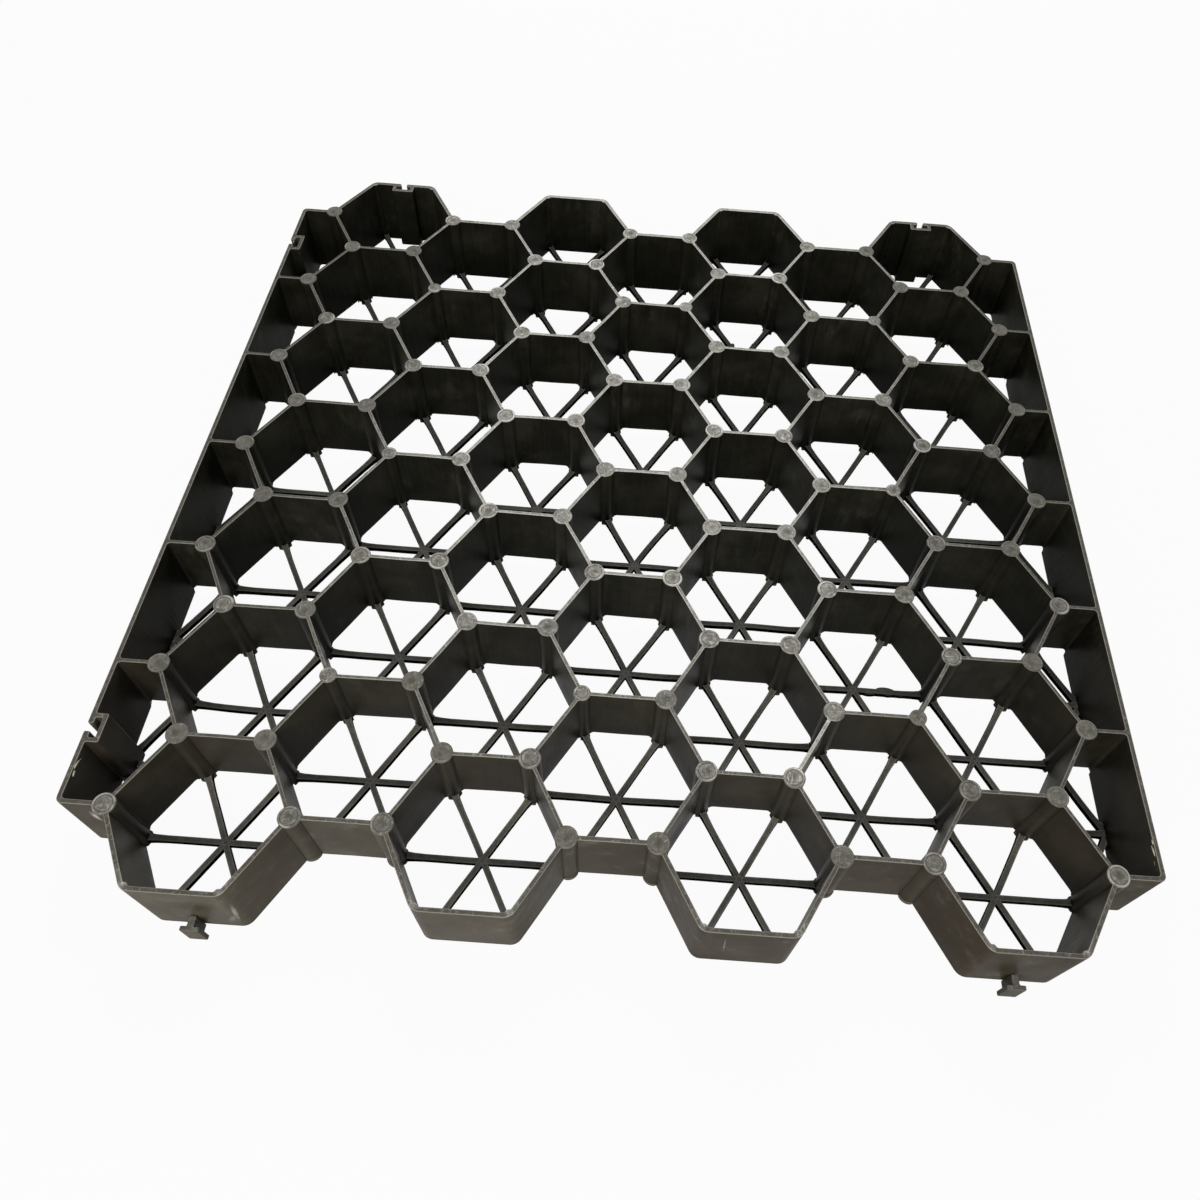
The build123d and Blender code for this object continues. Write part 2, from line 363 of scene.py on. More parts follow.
def corner(kind, at, back, ahead, half_back=0.0, half_ahead=0.0, radius=0.0, fillet=0.0, inset=0.0):
    """One corner of an outline. back and ahead are the directions of the walls that leave it.

    half_back and half_ahead are the distances from the walls' centre planes to their faces. kind is
    inner for a fillet, outer for a rounded edge, and post for a round post with a fillet each side.
    """
    return SimpleNamespace(kind=kind, at=np.asarray(at, float), back=unit(back), ahead=unit(ahead),
                           half_back=half_back, half_ahead=half_ahead, radius=radius, fillet=fillet,
                           inset=inset)


def lifts_of(c, sizes):
    """How far the walls before and after a corner hang clear of the ground."""
    return [sizes.passage * (abs(half - sizes.wall / 2) < 1e-9) for half in (c.half_back, c.half_ahead)]


def corner_points(c, sizes):
    """Points, normals towards the open side, post shares and lifts off the ground of one corner.

    An arc is its centre plus or minus its radius times a unit vector that turns evenly.
    """
    if c.kind == "post":
        return post_points(c, sizes)
    sign = 1.0 if c.kind == "inner" else -1.0
    faces = left_of(-c.back), left_of(c.ahead)
    distances = [c.half_back + sign * c.radius, c.half_ahead + sign * c.radius]
    normals = sweep_of(*faces, sizes.arc_steps // 2 if c.radius > MM else 2)
    points = c.at + np.linalg.solve(np.stack(faces), distances) - sign * c.radius * normals
    turn = np.linspace(0, 1, len(points))
    back, ahead = lifts_of(c, sizes)
    lift = back * np.sqrt(1 - turn ** 2) + ahead * np.sqrt(1 - (1 - turn) ** 2)
    return points, normals, np.zeros(len(points)), np.minimum(lift, max(back, ahead))


def post_points(c, sizes):
    """The same for a post: its arc, and at each side a fillet and the upper corner of a passage.

    A fillet's centre is one fillet radius away from the wall's face and from the post. The passage's
    corner is a quarter circle that ends where the fillet starts.
    """
    walls = (c.back, left_of(-c.back), c.half_back), (c.ahead, left_of(c.ahead), c.half_ahead)
    post = c.at + unit(walls[0][1] + walls[1][1]) * c.inset
    centres = []
    for wall, normal, half in walls:
        across = half + c.fillet - (post - c.at) @ normal
        along = (post - c.at) @ wall + math.sqrt((c.radius + c.fillet) ** 2 - across ** 2)
        centres.append(c.at + normal * (half + c.fillet) + wall * along)
    first, last = (unit(centre - post) for centre in centres)
    enter = sweep_of(walls[0][1], first, sizes.fillet_steps)
    around = sweep_of(first, last, sizes.arc_steps)
    leave = sweep_of(last, walls[1][1], sizes.fillet_steps)[::-1]
    ramp = np.linspace(0, 1, sizes.fillet_steps + 1)[:-1]
    parts = [[post + c.radius * around], [around], [np.ones(len(around))], [np.zeros(len(around))]]
    sides = zip(walls, centres, (enter, leave), lifts_of(c, sizes), (1, -1))
    for (wall, *_), centre, arc, high, order in sides:
        rise = np.radians(PASSAGE_ARC if high else [])
        fillet = centre - c.fillet * arc[:-1]
        beside = fillet[0] + wall * (sizes.arch * (1 - np.cos(rise)))[:, None]
        foot = max(high - sizes.arch, 0) * np.sqrt(1 - ramp ** 2)
        rows = ((beside, fillet), (0 * beside + arc[0], arc[:-1]), (0 * rise, np.sqrt(ramp)),
                (high - sizes.arch * (1 - np.sin(rise)), foot))
        for whole, row in zip(parts, rows):
            whole.insert(0 if order > 0 else len(whole), np.concatenate(row)[::order])
    return [np.concatenate(rows) for rows in parts]


def outline(corners, sizes, step=13 * MM):
    """The whole closed outline: the corners' arcs, with straight stretches divided between them."""
    parts = [corner_points(c, sizes) for c in corners]
    points, normals, share, lift = [], [], [], []
    for (here, normal, part, up), (after, *_), c in zip(parts, parts[1:] + parts[:1], corners):
        gap = after[0] - here[-1]
        pieces = max(1, round(np.linalg.norm(gap) / step))
        points += [here, here[-1] + gap * np.arange(1, pieces)[:, None] / pieces]
        normals += [normal, np.repeat(normal[-1:], pieces - 1, axis=0)]
        share += [part * (c.inset == 0), np.zeros(pieces - 1)]
        lift += [up, np.full(pieces - 1, up[-1])]
    return [np.concatenate(rows) for rows in (points, normals, share, lift)]


# Places in the honeycomb


def cell_centre(column, row):
    up = row + (1.0 if column % 2 == 0 else 0.5)
    return np.array([column * COLUMN_PITCH - HALF_WIDTH, up * CELL_PITCH - HALF_LENGTH])


def cell_keys():
    return [(c, r) for c in range(COLUMNS) for r in range(ROWS - (c % 2 == 0))]


def key_of(point):
    return tuple(int(round(v / NEAR)) for v in point)


def towards(degrees):
    return np.array([math.cos(math.radians(degrees)), math.sin(math.radians(degrees))])


def slim_keys():
    return {key_of(cell_centre(c, r) + side * np.array([CELL_SIDE, 0])) for c, r, side in SLIM_POSTS}


def post_places():
    """Centres of all posts, and which of them are slim."""
    slim, places = slim_keys(), {}
    for c, r in cell_keys():
        for k in range(6):
            p = cell_centre(c, r) + CELL_SIDE * towards(60 * k)
            if abs(p[0]) < HALF_WIDTH + NEAR and abs(p[1]) < HALF_LENGTH - NEAR:
                places[key_of(p)] = p
    keys = sorted(places)
    return np.array([places[k] for k in keys]), np.array([k in slim for k in keys])


def post_corner(point, back, ahead, half_back, half_ahead, sizes):
    radius = sizes.slim_mean if key_of(point) in slim_keys() else sizes.post_mean
    return corner("post", point, back, ahead, half_back, half_ahead, radius=radius, fillet=sizes.fillet)


def junction(point, back, ahead, half_back, half_ahead, sizes):
    """The corner where two walls of one cell meet: at a post, or at a free corner with its rib."""
    if abs(point[1]) < HALF_LENGTH - NEAR:
        return post_corner(point, back, ahead, half_back, half_ahead, sizes)
    return corner("post", point, back, ahead, half_back, half_ahead, radius=sizes.rib,
                  fillet=sizes.rib_fillet, inset=sizes.edge_wall / 2 / math.cos(math.radians(30)))


def polyline_corners(at, along, open_side, stations, radius, closed=False):
    """Corners from stations: (way along a wall, way off its centre plane, kind).

    Unless they close, the wall goes on straight before the first and after the last.
    """
    spots = [at + s * along + d * open_side for s, d, _ in stations]
    before, after = spots[-1], spots[0]
    if not closed:
        before, after = spots[0] - along * CELL_SIDE, spots[-1] + along * CELL_SIDE
    walk = [before, *spots, after]
    return [corner(station[2], here, back - here, ahead - here, radius=radius)
            for station, back, here, ahead in zip(stations, walk, spots, walk[2:])]


def slot_box(at, along, sizes):
    """The box of a slot as it stands out into its cell, walked with the cell on the left."""
    half, deep, face = sizes.box_half, sizes.box_face, sizes.edge_wall / 2
    stations = [(-half, face, "inner"), (-half, deep, "outer"), (half, deep, "outer"), (half, face, "inner")]
    return polyline_corners(at, along, left_of(along), stations, sizes.box_round)


def slot_hollow(at, along, sizes):
    """The gap and the cavity of a slot, walked with the open side on the left."""
    face, gap, wide = sizes.edge_wall / 2, sizes.gap_half, sizes.cavity_half
    lip, back = face - sizes.slot_lip, sizes.cavity_back
    stations = [(-gap, face, "outer"), (-gap, lip, "outer"), (-wide, lip, "inner"), (-wide, back, "inner"),
                (wide, back, "inner"), (wide, lip, "inner"), (gap, lip, "outer"), (gap, face, "outer")]
    return polyline_corners(at, along, left_of(along), stations, sizes.gap_round)


def cell_outline(column, row, sizes):
    """Corners of one cell, anticlockwise. A half cell is closed by the straight side wall."""
    centre = cell_centre(column, row)
    keys = {key_of(cell_centre(c, r)) for c, r in cell_keys()}
    thin, thick = sizes.wall / 2, sizes.edge_wall / 2

    def half(k):
        other = centre + CELL_PITCH * towards(60 * k + 30)
        inside = abs(other[0]) < HALF_WIDTH + NEAR
        return thin if key_of(other) in keys or not inside else thick

    def at_corner(k):
        return junction(centre + CELL_SIDE * towards(60 * k), towards(60 * k - 120), towards(60 * k + 120),
                        half(k - 1), half(k), sizes)

    if 0 < column < COLUMNS - 1:
        corners = [at_corner(k) for k in range(6)]
        if row == ROWS - 1 and column in SLOTTED_COLUMNS:
            corners[2:2] = slot_box(np.array([centre[0], HALF_LENGTH]), np.array([-1.0, 0.0]), sizes)
        return corners
    below, above = centre - [0, CELL_PITCH / 2], centre + [0, CELL_PITCH / 2]
    inward, up = np.array([1.0 if column == 0 else -1.0, 0.0]), np.array([0.0, 1.0])
    half_low, half_high, fillet = half(4), half(1), sizes.side_fillet
    if column == 0:
        low = corner("inner", below, up, inward, thick, half_low, radius=fillet)
        high = corner("inner", above, inward, -up, half_high, thick, radius=fillet)
        box = slot_box(centre, -up, sizes) if row in SLOTTED_ROWS else []
        return [low, at_corner(5), at_corner(0), at_corner(1), high, *box]
    low = corner("inner", below, inward, up, half_low, thick, radius=fillet)
    high = corner("inner", above, -up, inward, thick, half_high, radius=fillet)
    return [low, high, at_corner(2), at_corner(3), at_corner(4)]


def outside_outline(sizes):
    """Corners of the panel's outside, clockwise."""
    half = sizes.edge_wall / 2
    spots = [("panel", -HALF_WIDTH, -SHORT_HALF_LENGTH)]
    spots += [("slot", -HALF_WIDTH, cell_centre(0, r)[1]) for r in SLOTTED_ROWS]
    spots.append(("panel", -HALF_WIDTH, SHORT_HALF_LENGTH))
    for c in LONG_COLUMNS:
        x = cell_centre(c, 0)[0]
        spots += [("post", x - CELL_SIDE, SHORT_HALF_LENGTH), ("free", x - CELL_SIDE / 2, HALF_LENGTH)]
        spots += [("slot", x, HALF_LENGTH)] * (c in SLOTTED_COLUMNS)
        spots += [("free", x + CELL_SIDE / 2, HALF_LENGTH), ("post", x + CELL_SIDE, SHORT_HALF_LENGTH)]
    spots += [("panel", HALF_WIDTH, SHORT_HALF_LENGTH), ("panel", HALF_WIDTH, -SHORT_HALF_LENGTH)]
    for c in reversed(LONG_COLUMNS):
        x = cell_centre(c, 0)[0]
        spots += [("post", x + CELL_SIDE, -SHORT_HALF_LENGTH), ("free", x + CELL_SIDE / 2, -HALF_LENGTH),
                  ("free", x - CELL_SIDE / 2, -HALF_LENGTH), ("post", x - CELL_SIDE, -SHORT_HALF_LENGTH)]
    places = [np.array(s[1:]) for s in spots]
    corners = []
    for i, (kind, *_) in enumerate(spots):
        here, back, ahead = places[i], places[i - 1] - places[i], places[(i + 1) % len(spots)] - places[i]
        if kind == "slot":
            corners += slot_hollow(here, unit(ahead), sizes)
        elif kind == "post":
            corners.append(post_corner(here, back, ahead, half, half, sizes))
        else:
            radius = sizes.free_round if kind == "free" else sizes.panel_round
            corners.append(corner("outer", here, back, ahead, half, half, radius=radius))
    return corners


# Surfaces


def wall_levels(sizes):
    """Heights, and how far a wall's face, a post's face and the lip on a post stand out there.

    From the ground: a small chamfer, a post's lip, the plain face, and a quarter ellipse over the top edge.
    """
    top, edge, lip = HEIGHT - sizes.coin, sizes.edge_round, sizes.lip
    heights = np.concatenate([[0, FOOT_UP, sizes.lip_height, sizes.lip_height + LIP_SLOPE],
                              top - edge + edge * np.sin(OVER_EDGE)])
    chamfer = np.array([-FOOT_IN, 0, 0, 0, 0, 0, 0, 0])
    over = np.concatenate([np.zeros(4), 1 - np.cos(OVER_EDGE)])
    taper = (heights / HEIGHT - 0.5) * (sizes.post_top - sizes.post_foot)
    lips = np.array([lip, lip, lip, 0, 0, 0, 0, 0])
    return heights, chamfer - edge * over, chamfer + taper - sizes.post_edge * over, lips


def standing_surface(skin, corners, sizes, levels):
    """Faces that rise from an outline: each point moves along its normal by an amount set by height.

    Beside a passage the face starts at its lift, and has no lip.
    """
    points, normals, share, lift = outline(corners, sizes)
    heights, wall, post, lips = levels
    out = wall[:, None] * (1 - share) + post[:, None] * share + lips[:, None] * share ** 4 * (lift == 0)
    plan = points[None] + normals[None] * out[..., None]
    lower = heights < heights.max() / 2
    numbers = skin.add(stand(plan, heights[:, None] + lift[None] * lower[:, None]))
    skin.grid(numbers, flip=True)
    return numbers, plan, share


def flat_between(skin, rings, flip=False):
    """Flat triangles between closed rings, as (numbers, plan) pairs, where the first ring goes round all.

    The rings are joined by the triangles whose circles hold no other point.
    """
    numbers, plan = (np.concatenate(rows) for rows in zip(*rings))
    starts = np.cumsum([0] + [len(n) for n, _ in rings])
    loops = [list(range(a, b)) for a, b in zip(starts[:-1], starts[1:])]
    loops[0] = loops[0][::-1]
    scaled = [Vector(p) for p in plan / MM]
    _, _, faces, from_points, _, from_faces = delaunay_2d_cdt(scaled, [], loops, 1, 1e-5, True)
    source = [f[0] if f else -1 for f in from_points]
    solid = [face for face, owner in zip(faces, from_faces) if list(owner) == [0]]
    tris = np.array([[source[v] for v in face] for face in solid])
    if tris.min() < 0:
        raise RuntimeError("Two outlines cross, so the flat faces between them can't be made")
    a, b, c = (plan[tris[:, i]] for i in range(3))
    downward = (b - a)[:, 0] * (c - a)[:, 1] - (b - a)[:, 1] * (c - a)[:, 0] < 0
    tris[downward] = tris[downward][:, ::-1]
    tris = numbers[tris]
    skin.triangles.append(tris[:, ::-1] if flip else tris)


def post_tops(skin, places, slim, sizes, seed=7):
    """The coin on each post: rings whose radius and height follow one profile, with a dish off centre.

    Point = centre + radius(ring) (cos a, sin a) + shift(ring), height = profile(ring) + roughness, where
    the inner rings follow the dish's shift and are rough.
    """
    rng = np.random.default_rng(seed)
    rim = np.where(slim, sizes.slim_top, sizes.post_top)[:, None] - 0.25 * MM
    inner = rim - sizes.rim
    radius = np.concatenate([rim, rim - 0.04 * MM, rim - 0.2 * MM, inner, inner - 0.22 * MM,
                             inner * 0.62, inner * 0.3], axis=1)
    top, low = HEIGHT, HEIGHT - sizes.dish
    height = np.array([top - sizes.coin, top - 0.14 * MM, top, top, low, low + 0.05 * MM, low + 0.02 * MM])
    follow = np.array([0, 0, 0.25, 0.8, 1, 1, 1])
    rough_share = np.array([0, 0, 0.2, 0.2, 1, 1, 1])
    shift = rng.normal(0, 0.16 * MM, (len(places), 1, 1, 2)).clip(-0.3 * MM, 0.3 * MM)
    angle = np.linspace(0, 2 * np.pi, sizes.post_sides, endpoint=False)
    ring = np.stack([np.cos(angle), np.sin(angle)], axis=-1)
    plan = places[:, None, None] + radius[..., None, None] * ring + follow[:, None, None] * shift
    rough = rng.normal(0, 0.05 * MM, plan.shape[:-1]) * rough_share[:, None]
    numbers = skin.add(stand(plan, np.minimum(height[:, None] + rough, top)))
    skin.grid(numbers)
    centre = skin.add(stand(places + shift[:, 0, 0], low + 0.04 * MM))
    skin.fan(numbers[:, -1], centre)
    reach = np.array([1.0, 1.0, 0.96, 0.86, 0.8, 0.5, 0.25])
    return numbers, plan, np.broadcast_to(reach[:, None], numbers.shape[1:]), centre


def settle(points):
    """Warp of the whole moulding: slow waves in plan, fading to nothing at the outside edges."""
    x, y = points[:, 0], points[:, 1]
    sizes = bpy.context.scene.panel_sizes
    face = sizes.edge_wall / 2
    fade = (1 - (x / (HALF_WIDTH + face)) ** 2).clip(0) * (1 - (y / (HALF_LENGTH + face)) ** 2).clip(0)
    warp = sizes.warp * fade ** 0.5
    moved = points.copy()
    for axis, waves in enumerate(WARP_WAVES):
        bend = sum(share * np.sin(by_x * x + by_y * y + phase) for by_x, by_y, phase, share in waves)
        moved[:, axis] += warp * bend / sum(share for *_, share in waves)
    return moved


def rubbed_and_highlit(points):
    """Abrasion and painted highlight on the tops, from 0 to 1: the greatest of three, each of which fades as
    e to a negative power.

    On RUBBED_WALLS it is real abrasion, 1, and fades with the square of the distance. Over the middle and
    the back it is a painted highlight for a lamp's gloss, partly abrasion: it fades across with the fourth
    power of x, and rises along y as one over one plus e to the -y. On the free corners' ribs it is a painted
    highlight that fades with the fourth power of the distance.
    """
    x, y = points[:, 0], points[:, 1]
    ends = np.array(RUBBED_WALLS) * MM
    start, along = ends[:, None, :2], (ends[:, 2:] - ends[:, :2])[:, None]
    offset = points[None, :, :2] - start
    t = ((offset * along).sum(-1) / (along ** 2).sum(-1)).clip(0, 1)
    distance = np.linalg.norm(offset - t[..., None] * along, axis=-1).min(0)
    rise = 1 / (1 + np.exp(-(y - BAND_START) / BAND_SLOPE))
    ribs = np.array([cell_centre(c, 0)[0] + side * CELL_SIDE / 2 for c in LONG_COLUMNS for side in (-1, 1)])
    gap = np.hypot(np.abs(x - ribs[:, None]).min(0), np.abs(y) - HALF_LENGTH + RIB_INSET)
    return np.maximum.reduce([np.exp(-(distance / WALL_WEAR_REACH) ** 2),
                              MIDDLE_WEAR_AND_HIGHLIGHT * rise * np.exp(-(x / BAND_REACH) ** 4),
                              RIB_HIGHLIGHT * np.exp(-(gap / RIB_HIGHLIGHT_REACH) ** 4)])


class PANEL_OT_walls(bpy.types.Operator):
    """Build the cell walls, the edge walls with their slots, and the posts, as one closed skin"""

    bl_idname = "ground_panel.walls"
    bl_label = "Walls and Posts"

    def execute(self, context):
        sizes, skin = panel_measures(), Skin()
        outlines = [outside_outline(sizes)] + [cell_outline(c, r, sizes) for c, r in cell_keys()]
        walls = [standing_surface(skin, corners, sizes, wall_levels(sizes)) for corners in outlines]
        numbers, plan, reach, centres = post_tops(skin, *post_places(), sizes)
        coin_feet = [(n[0], p[0]) for n, p in zip(numbers, plan)]
        flat_between(skin, [(n[-1], p[-1]) for n, p, _ in walls] + coin_feet)
        flat_between(skin, [(n[0], p[0]) for n, p, _ in walls], flip=True)
        coin, outside, tone, on_post = (np.full(skin.count, v) for v in (OFF_POST, 0.0, 0.5, 0.0))
        coin[numbers], coin[centres] = reach, 0.0
        outside[walls[0][0]] = 1.0
        for wall_numbers, _, share in walls:
            on_post[wall_numbers] = share
        tone[numbers] = np.random.default_rng(31).random(len(numbers))[:, None, None]
        tone[centres] = tone[numbers[:, 0, 0]]
        # Abrasion and painted highlight of the tops; a post's top takes a share of it and a random spread
        wear_and_highlight, on_coin = rubbed_and_highlit(np.concatenate(skin.points)), coin < OFF_POST
        wear_and_highlight[on_coin] = (POST_TOP_SHARE * wear_and_highlight + POST_WEAR_SPREAD * (tone - 0.5))[on_coin].clip(0, 1)
        layers = {"coin": coin, "outside": outside, "rubbed_and_highlit": wear_and_highlight, "tone": tone, "post": on_post}
        skin.piece("cell_walls_and_posts", panel_plastic(), layers, settle)
        return {"FINISHED"}


class PANEL_OT_spokes(bpy.types.Operator):
    """Build the low spokes across the bottom of each cell, and their hubs"""

    bl_idname = "ground_panel.spokes"
    bl_label = "Spokes"

    def execute(self, context):
        skin = Skin()
        bar_points = bars(skin, *spoke_lines(), panel_measures())
        dome_points = [hubs(skin), lumps(skin)]
        lit = np.full(skin.count, CENTRE_LIT)
        lit[bar_points] = SPOKE_SECTION[:, 2]
        for points in dome_points:
            lit[points] = DOME_LIT[:, None]
        skin.piece("cell_spokes", spoke_plastic(), {"lit": lit}, settle)
        return {"FINISHED"}


def spoke_lines(seed=11):
    """Ends of every spoke in plan, its sideways bow, a hair of height that keeps tops apart, its slant.

    The slant is the slope of a spoke that starts in a side wall, so that its end is cut along the wall.
    """
    rng = np.random.default_rng(seed)
    bowed = {(c, r, k): b * MM for c, r, k, b in BOWED_SPOKES}
    slim, lines = slim_keys(), []
    for c, r in cell_keys():
        centre = cell_centre(c, r)
        side = -1 if c == 0 else 1 if c == COLUMNS - 1 else 0
        slotted = c == 0 and r in SLOTTED_ROWS
        for k in range(3):
            reach, slant = [], 0.0
            for turn in (60 * k, 60 * k + 180):
                far = centre + CELL_SIDE * towards(turn)
                stop = STOP_AT_SLIM_POST if key_of(far) in slim else STOP_AT_POST
                stop = STOP_AT_RIB if abs(far[1]) > HALF_LENGTH - NEAR else stop
                reach.append(centre + (CELL_SIDE - stop) * towards(turn))
            if side:
                inward = min(reach, key=lambda p: p[0] * side)
                way = unit(inward - centre)
                begin = START_IN_SLOT_BOX / abs(way).max() if slotted else START_IN_WALL / abs(way[0])
                slant = 0.0 if slotted else way[1] / way[0]
                reach = [centre + way * begin, inward]
            lines.append((*reach, bowed.get((c, r, k), rng.normal(0, BOW_SPREAD)), HEIGHT_STEP * k, slant))
    return [np.array(rows) for rows in zip(*lines)]


def bars(skin, starts, ends, bows, lifts, slants, sizes):
    """Spokes: a section with a shallow groove in its top, carried from end to end and flared at both ends.

    Point = start + t (end - start) + across (width(t) s + bow sin(pi t)), height = profile(s) (1 + flare).
    Near a slanted start it also slides along the spoke by slant times width(t) s, less as t grows.
    """
    section_across, section_up, _ = SPOKE_SECTION.T
    reach = np.linalg.norm(ends - starts, axis=1)
    even = np.linspace(0, 1, sizes.spoke_steps + 1)
    t = (1 - EVEN_SPACING) * (0.5 - 0.5 * np.cos(np.pi * even)) + EVEN_SPACING * even
    near_end = np.minimum(t, 1 - t)[None] * reach[:, None]
    flare = np.exp(-(near_end / FLARE_REACH) ** 2)
    along = (ends - starts) / reach[:, None]
    across = np.stack([-along[:, 1], along[:, 0]], axis=1)
    line = starts[:, None] + t[None, :, None] * (ends - starts)[:, None]
    line = line + across[:, None] * (bows[:, None] * np.sin(np.pi * t))[..., None]
    beside = (sizes.spoke_width / 2 * (1 + FLARE_WIDER * flare))[..., None] * section_across
    slide = beside * (slants[:, None] * (1 - SLANT_FADE * t).clip(0))[..., None]
    plan = line[:, :, None] + across[:, None, None] * beside[..., None]
    plan = plan + along[:, None, None] * slide[..., None]
    z = section_up * sizes.spoke_height * (1 + FLARE_HIGHER * flare[..., None])
    numbers = skin.add(stand(plan, z + lifts[:, None, None] * (section_up > 0.1)))
    skin.grid(numbers, flip=True)
    for station, flip in ((0, False), (-1, True)):
        skin.fan(numbers[:, station], skin.add(stand(line[:, station], sizes.spoke_height / 2)), flip=flip)
    return numbers


def dome(skin, centres, radius, stretch, turn, rise, base, sides=14):
    """Low domes: rings of radius r sin(a) at height base + rise (cos(a))^0.7, stretched along one way."""
    radius, stretch, turn, rise, base = (
        np.broadcast_to(v, len(centres)) for v in (radius, stretch, turn, rise, base))
    angle = np.linspace(0, 2 * np.pi, sides, endpoint=False)
    ring = np.stack([np.cos(angle) * stretch[:, None], np.sin(angle) + 0 * stretch[:, None]], -1)
    out = np.sin(DOME_RINGS)[None, :, None, None] * radius[:, None, None, None]
    plan = centres[:, None, None] + out * turned(ring, turn)[:, None]
    z = (base[:, None] + rise[:, None] * np.cos(DOME_RINGS) ** 0.7)[..., None]
    numbers = skin.add(np.concatenate([stand(plan[:, :1], DOME_FOOT), stand(plan, z)], axis=1))
    skin.grid(numbers)
    skin.fan(numbers[:, -1], skin.add(stand(centres, base + rise)))
    skin.fan(numbers[:, 0], skin.add(stand(centres, DOME_FOOT)), flip=True)
    return numbers


def hubs(skin):
    """A low round swelling where the spokes of a whole cell cross."""
    centres = np.array([cell_centre(c, r) for c, r in cell_keys() if 0 < c < COLUMNS - 1])
    return dome(skin, centres, HUB_RADIUS, 1.0, 0.0, HUB_RISE, HUB_BASE)


def lumps(skin):
    """Spare plastic that ran out along a spoke."""
    x, y, long, wide, turn = np.array(SPOKE_LUMPS).T
    return dome(skin, np.stack([x, y], -1) * MM, wide / 2 * MM, long / wide, np.radians(turn),
                LUMP_RISE, LUMP_BASE)


class PANEL_OT_tabs(bpy.types.Operator):
    """Build the T tabs low on the front and the right edge"""

    bl_idname = "ground_panel.tabs"
    bl_label = "Tabs"

    def execute(self, context):
        sizes, skin = panel_measures(), Skin()
        for name in ("tab_front_left", "tab_front_right", "tab_side_front", "tab_side_back"):
            tab(skin, name, sizes)
        skin.piece("edge_tabs", tab_plastic())
        return {"FINISHED"}


def tab(skin, name, sizes):
    """A T in plan with rounded corners, raised to its height, with worn edges top and bottom."""
    out = np.array([1.0, 0.0]) if name.startswith("tab_side") else np.array([0.0, -1.0])
    face = np.array(MOUNT[name])[:2] + out * HEAD_BEYOND_MOUNT
    stem, head, thick, root, rounding = (n * MM for n in (1.6, 4.4, 2.2, 6.9, 0.5))
    foot_up, foot_in, edge_down, edge_in = (n * MM for n in (0.3, 0.25, 0.45, 0.42))
    half = [(-root, stem, "outer"), (-thick, stem, "inner"), (-thick, head, "outer"), (0, head, "outer")]
    stations = half + [(s, -d, kind) for s, d, kind in reversed(half)]
    corners = polyline_corners(face, out, left_of(out), stations, rounding, closed=True)
    heights = np.concatenate([[0.0, foot_up], TAB_HEIGHT - edge_down * (1 - np.sin(OVER_EDGE))])
    wall = np.concatenate([[-foot_in, 0.0], -edge_in * (1 - np.cos(OVER_EDGE))])
    numbers, plan, _ = standing_surface(skin, corners, sizes, (heights, wall, wall, 0 * wall))
    flat_between(skin, [(numbers[-1], plan[-1])])
    flat_between(skin, [(numbers[0], plan[0])], flip=True)


class PANEL_OT_burrs(bpy.types.Operator):
    """Build the whitened burrs on knocked edges"""

    bl_idname = "ground_panel.burrs"
    bl_label = "Burrs"

    def execute(self, context):
        skin = Skin()
        burrs(skin)
        skin.piece("edge_burrs", burr_plastic())
        return {"FINISHED"}


def burrs(skin, rings=5, sides=10, seed=23):
    """Flakes: a sphere's points times three half sizes and a random share, turned, and cut at the box."""
    rng = np.random.default_rng(seed)
    x, y, depth, long, turn = np.array(BURRS).T
    centre = np.stack([x * MM, y * MM, HEIGHT - depth * MM], -1)
    angle = np.linspace(0, 2 * np.pi, sides, endpoint=False)
    tilt = np.radians(np.linspace(-66, 66, rings))[:, None]
    sphere = stand(np.stack([np.cos(tilt) * np.cos(angle), np.cos(tilt) * np.sin(angle)], -1), np.sin(tilt))
    many = np.ones(len(long))
    axes = np.stack([long / 2, BURR_HALF_WIDTH * many, BURR_HALF_HEIGHT * many], -1)[:, None] * MM
    lumpy = 1 + rng.normal(0, BURR_ROUGHNESS, (len(long), rings, sides, 1))
    flake = (sphere * axes[:, None] * lumpy).reshape(len(long), -1, 3)
    shape = np.concatenate([flake, np.array([[0, 0, -1.0], [0, 0, 1.0]]) * axes], axis=1)
    placed = stand(turned(shape[..., :2], np.radians(turn)), shape[..., 2]) + centre[:, None]
    numbers = skin.add(placed.clip(np.array(LOW), np.array(HIGH)))
    body = numbers[:, :-2].reshape(-1, rings, sides)
    skin.grid(body)
    skin.fan(body[:, 0], numbers[:, -2], flip=True)
    skin.fan(body[:, -1], numbers[:, -1])


# Materials


